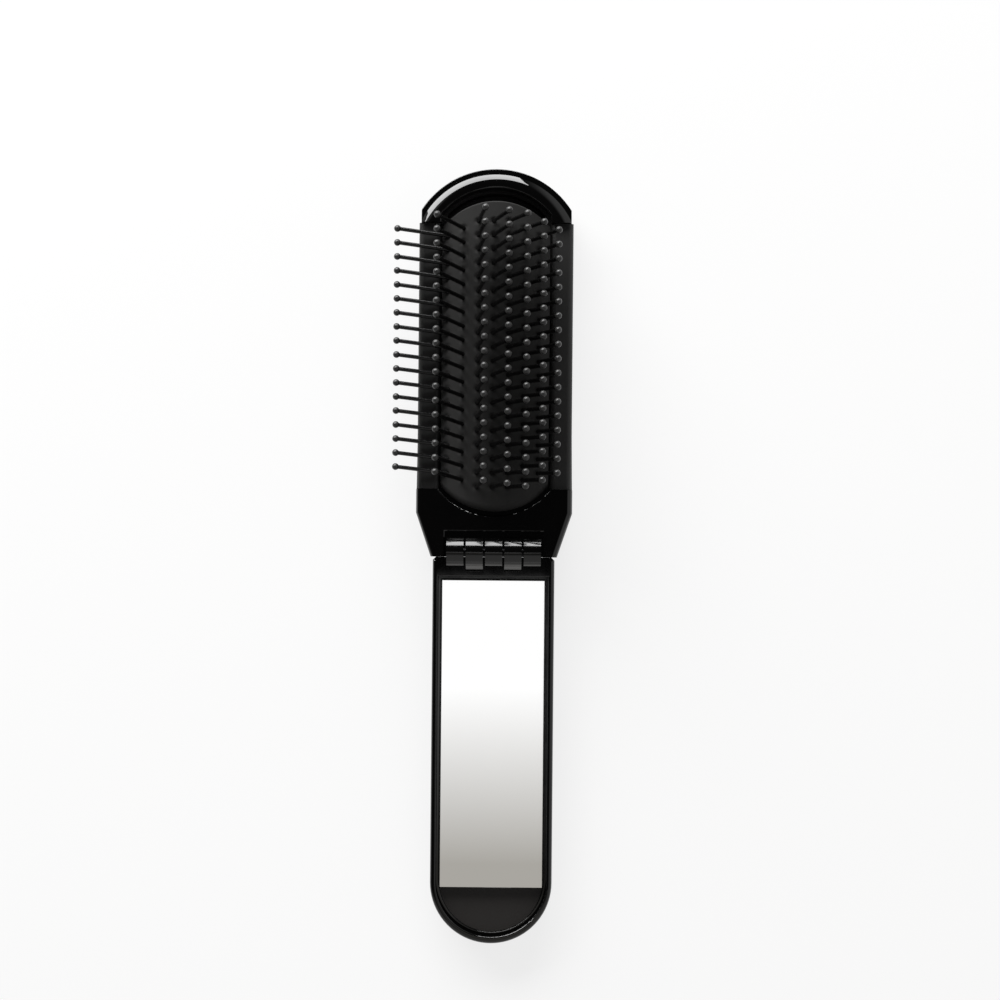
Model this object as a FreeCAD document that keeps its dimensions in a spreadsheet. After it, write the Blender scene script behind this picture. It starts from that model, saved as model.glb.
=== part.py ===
"""Folding travel brush: a cushioned brush head hinged to a handle that carries a mirror.

The brush lies open on its back.  X runs across it, +Y from the hinge towards the tip of the
head, -Y along the handle, and +Z is the side with the bristles and the mirror.  The origin is
on the back of the head, straight under the hinge.  Lengths are millimetres.
"""
import FreeCAD, Part
import os
import Sketcher

# Driving sizes: name, value, meaning
DRIVING_SIZES = [
    ("hinge_rise", 2.5, "hinge axis above the front of the head"),
    ("knuckle_diameter", 7.0, "outside of the hinge barrel"),
    ("knuckle_length", 4.2, "one knuckle along the hinge"),
    ("knuckle_gap", 0.55, "between neighbouring knuckles"),
    ("hinge_pin_diameter", 2.0, "steel hinge pin"),
    ("hinge_pin_chamfer", 0.3, "bevel at the ends of the pin"),
    ("hinge_held_clearance", 0.02, "round the pin in the knuckles of the head"),
    ("hinge_running_clearance", 0.06, "round the pin in the knuckles of the handle"),
    ("head_width", 37.3, "head across its cap"),
    ("head_reach", 95.0, "hinge axis to the tip of the cap"),
    ("cap_rise", 10.2, "height of the cap's arch in plan"),
    ("cap_rim_width", 4.9, "rim of the cap, outside to well"),
    ("shell_height", 11.0, "back to front of the head shell"),
    ("shell_floor", 2.0, "thickness of the shell's back"),
    ("ledge_height", 6.5, "ledge that carries the cushion and the rails"),
    ("shell_back_round", 3.0, "rounding of the back edges"),
    ("shell_front_round", 1.5, "rounding of the outer front edges"),
    ("cap_ledge_width", 1.4, "flat ledge round the cap, outside to slope"),
    ("cap_ledge_round", 0.25, "rounding of the ledge's outer edge"),
    ("cap_slope_width", 2.45, "rounded slope round the cap, ledge to crest"),
    ("cap_slope_depth", 1.05, "rounded slope round the cap, crest down to the ledge"),
    ("cap_inner_round", 0.45, "rounding of the cap's edge at the well"),
    ("yoke_inner_round", 0.5, "rounding of the yoke's edge at the well"),
    ("yoke_width", 38.8, "yoke at its widest"),
    ("yoke_tip_width", 31.4, "yoke beside the hinge"),
    ("yoke_taper_start", 9.5, "hinge axis to the start of the taper"),
    ("yoke_drop", 1.35, "yoke past the hinge axis"),
    ("well_width", 27.2, "well that the cushion sits in"),
    ("well_start", 8.9, "lowest point of the well"),
    ("well_shoulder", 15.2, "lower corners of the well"),
    ("well_lip", 0.8, "lip round the deep part of the well"),
    ("recess_width", 24.4, "recess round the hinge barrel"),
    ("recess_reach", 5.0, "hinge axis to the recess wall"),
    ("recess_clearance", 0.4, "under the hinge barrel"),
    ("recess_edge_round", 0.3, "rounding of the recess's front edges"),
    ("rail_start", 15.4, "lower end of the side rails"),
    ("rail_end_inset", 13.3, "tip of the cap to the side rails"),
    ("rail_overhang", 0.55, "rail proud of the cap's sides"),
    ("rail_height", 2.9, "rail above its ledge"),
    ("rail_round", 1.35, "rounding along the top of a rail"),
    ("rail_end_clearance", 0.1, "between a rail's end and the shell"),
    ("rail_peg_diameter", 2.0, "pegs under a rail"),
    ("rail_peg_length", 2.6, "depth of a peg"),
    ("rail_peg_inset", 10.0, "end of a rail to its last peg"),
    ("rail_peg_edge", 2.2, "outer face of a rail to its pegs"),
    ("rail_peg_clearance", 0.05, "round and under a peg"),
    ("cushion_clearance", 0.2, "between the cushion and the rails"),
    ("cushion_start", 9.9, "lower end of the cushion"),
    ("cushion_end_inset", 8.4, "tip of the cap to the cushion"),
    ("cushion_end_rise", 6.0, "bow of the cushion's ends in plan"),
    ("cushion_side", 2.5, "straight side above the ledge"),
    ("cushion_crown", 4.0, "rise of the crown above its sides"),
    ("cushion_wall", 1.2, "thickness of the rubber"),
    ("cavity_inset", 6.1, "end of the cushion to its hollow"),
    ("cavity_nose_inset", 2.5, "the same in the middle, where the ends bow out"),
    ("cavity_nose_width", 16.0, "middle part of the hollow"),
    ("cushion_end_round", 1.0, "rounding of the cushion's ends"),
    ("flange_width", 1.8, "flange under a rail"),
    ("flange_thickness", 1.0, "flange under a rail"),
    ("flange_inset", 1.2, "end of a rail to the end of the flange"),
    ("flange_clearance", 0.1, "between the flange and the rail"),
    ("pin_diameter", 1.0, "bristle pin"),
    ("pin_tip_diameter", 1.7, "ball at the tip of a pin"),
    ("pin_root_diameter", 1.25, "bead at the root of a pin"),
    ("pin_length", 12.8, "cushion to the middle of the tip ball"),
    ("pin_root_depth", 3.1, "cushion surface to the root bead"),
    ("pin_clearance", 0.05, "round a pin in the rubber"),
    ("pin_pitch", 3.46, "between pins of one row"),
    ("pin_first_row", 12.0, "leftmost row to the middle of the brush"),
    ("pin_row_spacing", 3.8, "between rows"),
    ("pin_end_margin", 4.2, "cushion kept free at both ends of a row, on average"),
    ("pin_field_shift", 0.65, "middle of the rows, above the middle of the cushion"),
    ("handle_width", 30.4, "handle across its sides"),
    ("handle_start", 1.45, "hinge axis to the handle"),
    ("handle_reach", 97.9, "hinge axis to the end of the handle"),
    ("handle_height", 8.0, "back to rim of the handle"),
    ("handle_corner_cut", 0.8, "cut corners beside the hinge"),
    ("handle_back_round", 2.6, "rounding of the back edges"),
    ("handle_front_round", 1.0, "rounding of the rim's outer edge"),
    ("rim_width", 2.1, "rim round the mirror, outside to tray"),
    ("rim_end_extra", 0.35, "rim wider at the round end"),
    ("rim_step_width", 0.7, "ledge inside the rim, level with the mirror's back"),
    ("rim_edge_round", 0.35, "rounding of the rim's inner edge"),
    ("step_edge_round", 0.15, "rounding of the ledge's edge at the tray"),
    ("tray_start", 7.0, "hinge axis to the tray"),
    ("tray_floor", 4.6, "floor of the tray above the back"),
    ("neck_reach", 5.2, "hinge axis to the foot of a handle knuckle"),
    ("neck_foot", 0.8, "foot of a handle knuckle above the rim"),
    ("neck_root", 0.6, "necks of the knuckles into their seats"),
    ("liner_thickness", 0.6, "panel on the floor of the tray"),
    ("liner_clearance", 0.1, "round the panel and the mirror"),
    ("tape_thickness", 0.4, "adhesive strips under the mirror"),
    ("tape_width", 21.0, "adhesive strip across the handle"),
    ("tape_length", 12.0, "adhesive strip along the handle"),
    ("tape_inset", 6.0, "end of the mirror to the adhesive"),
    ("mirror_start", 7.2, "hinge axis to the mirror"),
    ("mirror_end_inset", 13.85, "end of the handle to the mirror"),
    ("mirror_thickness", 1.6, "mirror plate"),
    ("mirror_bevel", 0.15, "ground edge of the mirror"),
    ("overrun", 1.0, "how far a cut runs past the solid"),
]

# The way each row of pins leans in degrees, left to right: across the brush, and towards the tip of the head
ROW_LEAN_DEGREES = (-78.0, -29.0, 8.0, 17.0, 20.0, 21.0, 20.0)
ROW_TILT_DEGREES = (6.0, 8.0, 7.0, 4.0, 1.0, 0.0, 0.0)
PIN_ROWS = len(ROW_LEAN_DEGREES)
PEGS_PER_RAIL = 3
HEAD_KNUCKLES = 3
HANDLE_KNUCKLES = 2
SAME_PLACE = 1e-6

document = FreeCAD.newDocument("folding_travel_brush")
sheet = document.addObject("Spreadsheet::Sheet", "Brush")
for row_number, (alias, value, meaning) in enumerate(DRIVING_SIZES, start=1):
    sheet.set(f"A{row_number}", str(value))
    sheet.setAlias(f"A{row_number}", alias)
    sheet.set(f"B{row_number}", meaning)
document.recompute()

# Sizes worked out from the driving ones, as expressions on the sheet
HEAD_HALF = "Brush.head_width / 2"
HINGE_HEIGHT = "(Brush.shell_height + Brush.hinge_rise)"
RAIL_END = "(Brush.head_reach - Brush.rail_end_inset)"
CAP_START = "(Brush.head_reach - Brush.cap_rise)"
CAP_RADIUS = "((Brush.head_width ^ 2 / 4 + Brush.cap_rise ^ 2) / (2 * Brush.cap_rise))"
CAP_CENTRE = f"(Brush.head_reach - {CAP_RADIUS})"
CAP_SWEEP = f"2 * acos(({RAIL_END} - Brush.overrun - {CAP_CENTRE}) / {CAP_RADIUS})"
WELL_HALF = "Brush.well_width / 2"
WELL_RADIUS = f"({CAP_RADIUS} - Brush.cap_rim_width)"
WELL_END = "(Brush.head_reach - Brush.cap_rim_width)"
WELL_CAP_CORNER = f"({CAP_CENTRE} + sqrt({WELL_RADIUS} ^ 2 - Brush.well_width ^ 2 / 4))"
WELL_DEPTH = "Brush.shell_height - Brush.ledge_height"
WELL_BOW = "(Brush.well_shoulder - Brush.well_start)"
WELL_LOW_RADIUS = f"((Brush.well_width ^ 2 / 4 + {WELL_BOW} ^ 2) / (2 * {WELL_BOW}))"
RAIL_OUTER = "(Brush.head_width / 2 + Brush.rail_overhang)"
RAIL_MIDDLE = f"(Brush.rail_start + {RAIL_END}) / 2"
PEG_ACROSS = f"({RAIL_OUTER} - Brush.rail_peg_edge)"
PEG_FIRST = "(Brush.rail_start + Brush.rail_peg_inset)"
PEG_SPAN = f"({RAIL_END} - Brush.rail_start - 2 * Brush.rail_peg_inset)"
BARREL_RADIUS = "Brush.knuckle_diameter / 2"
KNUCKLE_STEP = "(Brush.knuckle_length + Brush.knuckle_gap)"
RECESS_FLOOR = f"({HINGE_HEIGHT} - Brush.knuckle_diameter / 2 - Brush.recess_clearance)"
CUSHION_HALF = "(Brush.well_width / 2 - Brush.cushion_clearance)"
CUSHION_END = "(Brush.head_reach - Brush.cushion_end_inset)"
CUSHION_MIDDLE = f"(Brush.cushion_start + {CUSHION_END}) / 2"
CUSHION_BOW_RADIUS = f"(({CUSHION_HALF} ^ 2 + Brush.cushion_end_rise ^ 2) / (2 * Brush.cushion_end_rise))"
CUSHION_EDGE = "(Brush.ledge_height + Brush.cushion_side)"
CUSHION_TOP = "(Brush.ledge_height + Brush.cushion_side + Brush.cushion_crown)"
CROWN_RADIUS = f"(({CUSHION_HALF} ^ 2 + Brush.cushion_crown ^ 2) / (2 * Brush.cushion_crown))"
CAVITY_HALF = f"({CUSHION_HALF} - Brush.cushion_wall)"
CAVITY_TOP = f"({CUSHION_TOP} - Brush.cushion_wall)"
HANDLE_HALF = "Brush.handle_width / 2"
HANDLE_CENTRE = "(Brush.handle_reach - Brush.handle_width / 2)"
TRAY_HALF = "(Brush.handle_width / 2 - Brush.rim_width)"
TRAY_CENTRE = f"({HANDLE_CENTRE} - Brush.rim_end_extra)"
STEP_HALF = f"({TRAY_HALF} + Brush.rim_step_width)"
STEP_START = "(Brush.tray_start - Brush.rim_step_width)"
LINER_HALF = f"({TRAY_HALF} - Brush.liner_clearance)"
LINER_TOP = "(Brush.tray_floor + Brush.liner_thickness)"
MIRROR_BACK = f"({LINER_TOP} + Brush.tape_thickness)"
MIRROR_END = "(Brush.handle_reach - Brush.mirror_end_inset)"
MIRROR_HALF = f"sqrt({LINER_HALF} ^ 2 - max(0; {MIRROR_END} - {TRAY_CENTRE}) ^ 2)"
BARREL_LENGTH = (
    f"({HEAD_KNUCKLES + HANDLE_KNUCKLES} * Brush.knuckle_length"
    f" + {HEAD_KNUCKLES + HANDLE_KNUCKLES - 1} * Brush.knuckle_gap)"
)


def size(expression):
    """The value of an expression on the sheet."""
    return float(sheet.evalExpression(expression))


def minus(expression):
    """The same length, the other way."""
    return f"-({expression})"


def new_body(label):
    body = document.addObject("PartDesign::Body", label)
    body.Label = label
    return body


def origin_part(body, role):
    """The plane or axis of a body's own origin."""
    return [part for part in body.Origin.OriginFeatures if part.Role == role][0]


def new_sketch(body, name, role, offset="0"):
    """A sketch on an origin plane of its body, moved along the plane's normal."""
    sketch = body.newObject("Sketcher::SketchObject", name)
    sketch.AttachmentSupport = [(origin_part(body, role), "")]
    sketch.MapMode = "FlatFace"
    sketch.setExpression("AttachmentOffset.Base.z", offset)
    return sketch


def fix_point(sketch, geometry, place, point):
    """Tie one point of a sketch to two expressions, measured from the sketch's origin."""
    for kind, expression in zip(("DistanceX", "DistanceY"), point):
        rule = Sketcher.Constraint(kind, -1, 1, geometry, place, size(expression))
        index = sketch.addConstraint(rule)
        sketch.setExpression(f"Constraints[{index}]", expression)


def draw_outline(sketch, corners, bulges=None):
    """A closed loop of straight sides; a side listed in bulges is an arc through that point."""
    bulges = bulges or {}
    spots = [FreeCAD.Vector(size(across), size(along), 0) for across, along in corners]
    sides = []
    for index, start in enumerate(spots):
        finish = spots[(index + 1) % len(spots)]
        first, last = 1, 2
        if index in bulges:
            across, along = bulges[index]
            middle = FreeCAD.Vector(size(across), size(along), 0)
            clockwise = (middle - start).cross(finish - start).z < 0
            if clockwise:
                first, last = 2, 1
                start, finish = finish, start
            side = sketch.addGeometry(Part.Arc(start, middle, finish))
            marker = sketch.addGeometry(Part.Point(middle), True)
            fix_point(sketch, marker, 1, bulges[index])
            sketch.addConstraint(Sketcher.Constraint("PointOnObject", marker, 1, side))
        else:
            side = sketch.addGeometry(Part.LineSegment(start, finish))
        sides.append((side, first, last))
    for index, (side, first, last) in enumerate(sides):
        follower, follower_first, follower_last = sides[(index + 1) % len(sides)]
        joined = Sketcher.Constraint("Coincident", side, last, follower, follower_first)
        sketch.addConstraint(joined)
        fix_point(sketch, side, first, corners[index])


def draw_box(sketch, low, high):
    """A rectangle between two opposite corners."""
    draw_outline(sketch, [low, (high[0], low[1]), high, (low[0], high[1])])


def draw_circle(sketch, centre, diameter):
    spot = FreeCAD.Vector(size(centre[0]), size(centre[1]), 0)
    circle = sketch.addGeometry(Part.Circle(spot, FreeCAD.Vector(0, 0, 1), size(diameter) / 2))
    fix_point(sketch, circle, 3, centre)
    index = sketch.addConstraint(Sketcher.Constraint("Diameter", circle, size(diameter)))
    sketch.setExpression(f"Constraints[{index}]", diameter)


def extrude(body, kind, name, sketch, length, both_ways=False, reversed_way=False):
    """A Pad or a Pocket of a sketch, to one side of it or half to each."""
    before = body.Tip.Shape.Volume if body.Tip else 0
    feature = body.newObject(f"PartDesign::{kind}", name)
    feature.Profile = sketch
    feature.setExpression("Length", length)
    feature.Reversed = reversed_way
    if both_ways:
        feature.SideType = "Symmetric"
    document.recompute()
    if kind == "Pocket" and feature.Shape.Volume > before - SAME_PLACE:
        raise RuntimeError(f"{name} cuts nothing")
    return feature


def repeat(body, name, feature, axis, length, count):
    """Copies of a feature in a straight line."""
    pattern = body.newObject("PartDesign::LinearPattern", name)
    pattern.Originals = [feature]
    pattern.Direction = axis
    pattern.setExpression("Length", length)
    pattern.Occurrences = count
    body.Tip = pattern
    document.recompute()
    return pattern


def dress(body, kind, name, property_name, length, wanted):
    """A Fillet or Chamfer on the edges of the body's last feature that a test accepts."""
    base = body.Tip
    edges = [f"Edge{number}" for number, edge in enumerate(base.Shape.Edges, start=1) if wanted(edge)]
    feature = body.newObject(f"PartDesign::{kind}", name)
    feature.Base = (base, edges)
    feature.setExpression(property_name, length)
    document.recompute()
    return feature


def at_height(edge, height):
    """True for an edge that lies flat at a height."""
    box = edge.BoundBox
    return abs(box.ZMin - size(height)) < SAME_PLACE and abs(box.ZMax - size(height)) < SAME_PLACE


def on_butt_face(edge, along):
    """True for an edge in the face where head and handle meet."""
    box = edge.BoundBox
    return abs(box.YMin - size(along)) < SAME_PLACE and abs(box.YMax - size(along)) < SAME_PLACE


# Head shell: one moulding with the cap, the yoke, the back and three knuckles
def build_head_shell():
    body = new_body("head_shell")
    plan = new_sketch(body, "head_plan", "XY_Plane")
    yoke_half = "Brush.yoke_width / 2"
    tip_half = "Brush.yoke_tip_width / 2"
    right_side = [
        (tip_half, minus("Brush.yoke_drop")),
        (yoke_half, "Brush.yoke_taper_start"),
        (yoke_half, "Brush.rail_start"),
        (HEAD_HALF, CAP_START),
    ]
    left_side = [(minus(across), along) for across, along in reversed(right_side)]
    draw_outline(plan, right_side + left_side, {len(right_side) - 1: ("0", "Brush.head_reach")})
    extrude(body, "Pad", "head_block", plan, "Brush.shell_height")
    butt = minus("Brush.yoke_drop")
    dress(body, "Fillet", "head_back_edges", "Radius", "Brush.shell_back_round",
          lambda edge: at_height(edge, "0") and not on_butt_face(edge, butt))
    dress(body, "Fillet", "head_front_edges", "Radius", "Brush.shell_front_round",
          lambda edge: at_height(edge, "Brush.shell_height") and not on_butt_face(edge, butt))

    well = new_sketch(body, "well_plan", "XY_Plane", "Brush.shell_height")
    well_corners = [
        (minus(WELL_HALF), "Brush.well_shoulder"),
        (WELL_HALF, "Brush.well_shoulder"),
        (WELL_HALF, WELL_CAP_CORNER),
        (minus(WELL_HALF), WELL_CAP_CORNER),
    ]
    draw_outline(well, well_corners, {0: ("0", "Brush.well_start"), 2: ("0", WELL_END)})
    extrude(body, "Pocket", "well", well, WELL_DEPTH)

    seats = new_sketch(body, "rail_seat_plan", "XY_Plane", "Brush.shell_height")
    seat_outer = "(Brush.yoke_width / 2 + Brush.overrun)"
    inner = f"({WELL_HALF} - Brush.overrun)"
    draw_box(seats, (inner, "Brush.rail_start"), (seat_outer, RAIL_END))
    draw_box(seats, (minus(seat_outer), "Brush.rail_start"), (minus(inner), RAIL_END))
    extrude(body, "Pocket", "rail_seats", seats, WELL_DEPTH)
    round_cap(body)
    dress(body, "Fillet", "cap_inner_edges", "Radius", "Brush.cap_inner_round",
          lambda edge: is_well_edge(edge) and edge.BoundBox.YMin > size(RAIL_MIDDLE))
    dress(body, "Fillet", "yoke_inner_edges", "Radius", "Brush.yoke_inner_round",
          lambda edge: is_well_edge(edge) and edge.BoundBox.YMin < size(RAIL_MIDDLE))

    hollow = new_sketch(body, "hollow_plan", "XY_Plane", "Brush.ledge_height")
    low_radius = f"({WELL_LOW_RADIUS} - Brush.well_lip)"
    low = f"(Brush.well_start + {WELL_LOW_RADIUS} - sqrt({low_radius} ^ 2 - {CAVITY_HALF} ^ 2))"
    high_radius = f"({WELL_RADIUS} - Brush.well_lip)"
    high = f"({CAP_CENTRE} + sqrt({high_radius} ^ 2 - {CAVITY_HALF} ^ 2))"
    hollow_corners = [
        (minus(CAVITY_HALF), low),
        (CAVITY_HALF, low),
        (CAVITY_HALF, high),
        (minus(CAVITY_HALF), high),
    ]
    hollow_ends = {
        0: ("0", "Brush.well_start + Brush.well_lip"),
        2: ("0", f"{WELL_END} - Brush.well_lip"),
    }
    draw_outline(hollow, hollow_corners, hollow_ends)
    extrude(body, "Pocket", "hollow", hollow, "Brush.ledge_height - Brush.shell_floor")

    pegs = new_sketch(body, "peg_hole_plan", "XY_Plane", "Brush.ledge_height")
    peg_hole = "(Brush.rail_peg_diameter + 2 * Brush.rail_peg_clearance)"
    for across in (PEG_ACROSS, minus(PEG_ACROSS)):
        draw_circle(pegs, (across, PEG_FIRST), peg_hole)
    depth = "Brush.rail_peg_length + Brush.rail_peg_clearance"
    hole = extrude(body, "Pocket", "peg_hole", pegs, depth)
    repeat(body, "peg_holes", hole, (origin_part(body, "Y_Axis"), [""]), PEG_SPAN, PEGS_PER_RAIL)

    recess = new_sketch(body, "recess_plan", "XY_Plane", "Brush.shell_height")
    low = minus("Brush.yoke_drop + Brush.overrun")
    recess_half = "Brush.recess_width / 2"
    draw_box(recess, (minus(recess_half), low), (recess_half, "Brush.recess_reach"))
    extrude(body, "Pocket", "hinge_recess", recess, f"Brush.shell_height - {RECESS_FLOOR}")
    dress(body, "Fillet", "recess_edges", "Radius", "Brush.recess_edge_round", is_recess_edge)

    knuckle = new_sketch(body, "head_knuckle_side", "YZ_Plane", minus(f"2 * {KNUCKLE_STEP}"))
    seat = f"({RECESS_FLOOR} - Brush.neck_root)"
    slant = f"{BARREL_RADIUS} * sqrt(1 / 2)"
    corners = [
        ("0", seat),
        (BARREL_RADIUS, seat),
        (BARREL_RADIUS, HINGE_HEIGHT),
        (minus(BARREL_RADIUS), HINGE_HEIGHT),
        ("0", f"{HINGE_HEIGHT} - {BARREL_RADIUS}"),
    ]
    bulges = {
        2: ("0", f"{HINGE_HEIGHT} + {BARREL_RADIUS}"),
        3: (minus(slant), f"{HINGE_HEIGHT} - {slant}"),
    }
    draw_outline(knuckle, corners, bulges)
    first = extrude(body, "Pad", "head_knuckle", knuckle, "Brush.knuckle_length", both_ways=True)
    along_hinge = (origin_part(body, "X_Axis"), [""])
    repeat(body, "head_knuckles", first, along_hinge, f"4 * {KNUCKLE_STEP}", HEAD_KNUCKLES)
    cut_hinge_bore(body, "head_bore", "Brush.hinge_held_clearance")
    return body


def round_cap(body):
    """Turn the cap's front into a rounded slope that rises from a flat ledge to a crest at the well."""
    section = new_sketch(body, "cap_slope_section", "YZ_Plane")
    ledge = "(Brush.head_reach - Brush.cap_ledge_width)"
    ledge_edge = "(Brush.head_reach - Brush.cap_ledge_round)"
    crest = f"({ledge} - Brush.cap_slope_width)"
    foot = "(Brush.shell_height - Brush.cap_slope_depth)"
    outside = "(Brush.head_reach + Brush.overrun)"
    above = "(Brush.shell_height + Brush.overrun)"
    side_top = f"({foot} - Brush.cap_ledge_round)"
    corners = [
        (ledge, foot),
        (ledge_edge, foot),
        ("Brush.head_reach", side_top),
        (outside, side_top),
        (outside, above),
        (crest, above),
        (crest, "Brush.shell_height"),
    ]
    share = "sqrt(1 / 2)"
    edge_part = f"Brush.cap_ledge_round * {share}"
    chord = "sqrt(Brush.cap_slope_width ^ 2 + Brush.cap_slope_depth ^ 2)"
    radius = f"({chord} ^ 2 / (2 * Brush.cap_slope_depth))"
    half_way = f"({radius} * Brush.cap_slope_width / {chord})"
    bulges = {
        1: (f"{ledge_edge} + {edge_part}", f"{side_top} + {edge_part}"),
        6: (f"{crest} + {chord} / 2", f"Brush.shell_height - {radius} + {half_way}"),
    }
    draw_outline(section, corners, bulges)
    turn_line = section.addGeometry(Part.LineSegment(
        FreeCAD.Vector(size(CAP_CENTRE), 0, 0), FreeCAD.Vector(size(CAP_CENTRE), size(above), 0)), True)
    fix_point(section, turn_line, 1, (CAP_CENTRE, "0"))
    fix_point(section, turn_line, 2, (CAP_CENTRE, above))
    before = body.Tip.Shape.Volume
    slope = body.newObject("PartDesign::Groove", "cap_slope")
    slope.Profile = section
    slope.ReferenceAxis = (section, ["Axis0"])
    slope.Midplane = True
    slope.setExpression("Angle", CAP_SWEEP)
    document.recompute()
    if slope.Shape.Volume > before - SAME_PLACE:
        raise RuntimeError("cap_slope cuts nothing")


def is_well_edge(edge):
    """True for the front edges of the well, in the cap and in the yoke."""
    widest = max(edge.BoundBox.XMax, -edge.BoundBox.XMin)
    inside = widest < size(WELL_HALF) + SAME_PLACE and edge.BoundBox.YMin > 0
    return inside and at_height(edge, "Brush.shell_height")


def is_recess_edge(edge):
    """True for the front edges of the recess round the hinge barrel."""
    widest = max(edge.BoundBox.XMax, -edge.BoundBox.XMin)
    inside = widest < size("Brush.recess_width / 2") + SAME_PLACE
    inside = inside and edge.BoundBox.YMax < size("Brush.recess_reach") + SAME_PLACE
    return inside and at_height(edge, "Brush.shell_height")


def cut_hinge_bore(body, name, clearance):
    """The hole for the hinge pin, through all the knuckles of a body."""
    section = new_sketch(body, f"{name}_section", "YZ_Plane")
    draw_circle(section, ("0", HINGE_HEIGHT), f"Brush.hinge_pin_diameter + 2 * {clearance}")
    extrude(body, "Pocket", name, section, f"{BARREL_LENGTH} + 2 * Brush.overrun", both_ways=True)


# Side rails: rounded bars that clamp the cushion's flanges, with pegs into the shell
def build_side_rail(label, turned):
    body = new_body(label)
    upper_end = minus(f"{RAIL_END} - Brush.rail_end_clearance")
    section = new_sketch(body, f"{label}_section", "XZ_Plane", upper_end)
    notch_side = f"({WELL_HALF} + Brush.flange_width)"
    notch_top = "(Brush.ledge_height + Brush.flange_thickness + Brush.flange_clearance)"
    top = "(Brush.ledge_height + Brush.rail_height)"
    corners = [
        (notch_side, "Brush.ledge_height"),
        (RAIL_OUTER, "Brush.ledge_height"),
        (RAIL_OUTER, top),
        (WELL_HALF, top),
        (WELL_HALF, notch_top),
        (notch_side, notch_top),
    ]
    draw_outline(section, corners)
    length = f"{RAIL_END} - Brush.rail_start - 2 * Brush.rail_end_clearance"
    extrude(body, "Pad", f"{label}_bar", section, length)
    dress(body, "Fillet", f"{label}_rounding", "Radius", "Brush.rail_round",
          lambda edge: at_height(edge, top) and edge.Length > size(length) / 2)
    pegs = new_sketch(body, f"{label}_peg_plan", "XY_Plane", "Brush.ledge_height")
    draw_circle(pegs, (PEG_ACROSS, PEG_FIRST), "Brush.rail_peg_diameter")
    peg = extrude(body, "Pad", f"{label}_peg", pegs, "Brush.rail_peg_length", reversed_way=True)
    along_rail = (origin_part(body, "Y_Axis"), [""])
    repeat(body, f"{label}_pegs", peg, along_rail, PEG_SPAN, PEGS_PER_RAIL)
    if turned:
        body.Placement.Rotation = FreeCAD.Rotation(FreeCAD.Vector(0, 0, 1), 180)
        body.setExpression("Placement.Base.y", f"2 * {RAIL_MIDDLE}")
    return body


# Cushion: a hollow rubber crown with bowed ends, flanges under the rails and a hole for each pin
def build_cushion():
    body = new_body("cushion_pad")
    crown = new_sketch(body, "crown_section", "XZ_Plane", minus(CUSHION_END))
    corners = [
        (minus(CUSHION_HALF), "Brush.ledge_height"),
        (CUSHION_HALF, "Brush.ledge_height"),
        (CUSHION_HALF, CUSHION_EDGE),
        (minus(CUSHION_HALF), CUSHION_EDGE),
    ]
    draw_outline(crown, corners, {2: ("0", CUSHION_TOP)})
    extrude(body, "Pad", "crown", crown, f"{CUSHION_END} - Brush.cushion_start")

    ends = new_sketch(body, "end_plan", "XY_Plane", CUSHION_TOP)
    side = f"({CUSHION_HALF} + Brush.overrun)"
    for end, corner, outside in (
        ("Brush.cushion_start", "(Brush.cushion_start + Brush.cushion_end_rise)",
         "(Brush.cushion_start - Brush.overrun)"),
        (CUSHION_END, f"({CUSHION_END} - Brush.cushion_end_rise)",
         f"({CUSHION_END} + Brush.overrun)"),
    ):
        waste = [
            (minus(CUSHION_HALF), corner),
            (CUSHION_HALF, corner),
            (side, corner),
            (side, outside),
            (minus(side), outside),
            (minus(side), corner),
        ]
        draw_outline(ends, waste, {0: ("0", end)})
    extrude(body, "Pocket", "bowed_ends", ends, f"{CUSHION_TOP} - Brush.ledge_height")
    dress(body, "Fillet", "soft_ends", "Radius", "Brush.cushion_end_round", is_cushion_end_edge)

    hollow_cushion(body, "cavity", CAVITY_HALF, "Brush.cavity_inset")
    hollow_cushion(body, "cavity_nose", "(Brush.cavity_nose_width / 2)", "Brush.cavity_nose_inset")

    flange = new_sketch(body, "flange_plan", "XY_Plane", "Brush.ledge_height")
    low = "(Brush.rail_start + Brush.flange_inset)"
    high = f"({RAIL_END} - Brush.flange_inset)"
    outer = f"({WELL_HALF} + Brush.flange_width - Brush.flange_clearance)"
    inner = f"({CUSHION_HALF} - Brush.cushion_wall / 2)"
    draw_box(flange, (inner, low), (outer, high))
    draw_box(flange, (minus(outer), low), (minus(inner), high))
    extrude(body, "Pad", "flanges", flange, "Brush.flange_thickness")

    for number in range(1, PIN_ROWS + 1):
        count = pins_in_row(number)
        across, height, first = pin_row_start(number, count)
        hole = new_sketch(body, f"pin_hole_plan_{number}", "XY_Plane", height)
        tilt = FreeCAD.Rotation(FreeCAD.Vector(1, 0, 0), -ROW_TILT_DEGREES[number - 1])
        lean = FreeCAD.Rotation(FreeCAD.Vector(0, 1, 0), ROW_LEAN_DEGREES[number - 1])
        hole.AttachmentOffset.Rotation = lean * tilt
        hole.setExpression("AttachmentOffset.Base.x", across)
        hole.setExpression("AttachmentOffset.Base.y", first)
        draw_circle(hole, ("0", "0"), "Brush.pin_diameter + 2 * Brush.pin_clearance")
        cut = extrude(body, "Pocket", f"pin_hole_{number}", hole, "2 * Brush.pin_root_depth", both_ways=True)
        along_head = (origin_part(body, "Y_Axis"), [""])
        repeat(body, f"pin_holes_{number}", cut, along_head, pin_row_length(count), count)
    return body


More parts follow.
